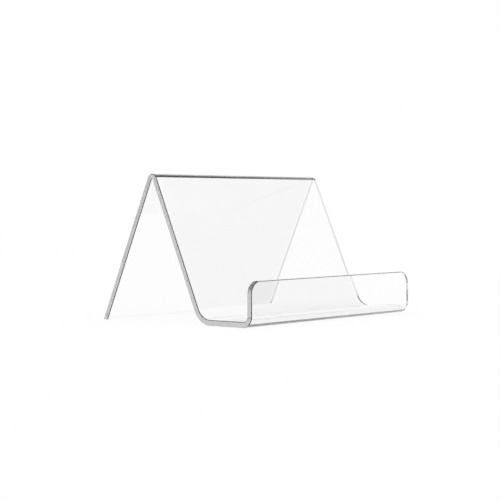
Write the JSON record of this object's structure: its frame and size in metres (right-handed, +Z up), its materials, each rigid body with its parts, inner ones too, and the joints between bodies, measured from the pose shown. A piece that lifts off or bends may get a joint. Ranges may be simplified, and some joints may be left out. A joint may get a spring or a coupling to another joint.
{
  "type": "book display stand",
  "caption": "Clear acrylic book stand bent from sheet: a sloping rest and a rear leg meet at a ridge, and a flat trough with an upright, round-cornered lip holds the book.",
  "frame": {"origin": "on the table plane, below the centre of the stand's box", "axes": "+X along the bends, +Y to the back, +Z up"},
  "size_m": [0.22, 0.181, 0.13],
  "materials": {
    "clear_acrylic": "polished"
  },
  "bodies": {
    "root": {"bent_sheet": "clear_acrylic"}
  },
  "joints": []
}
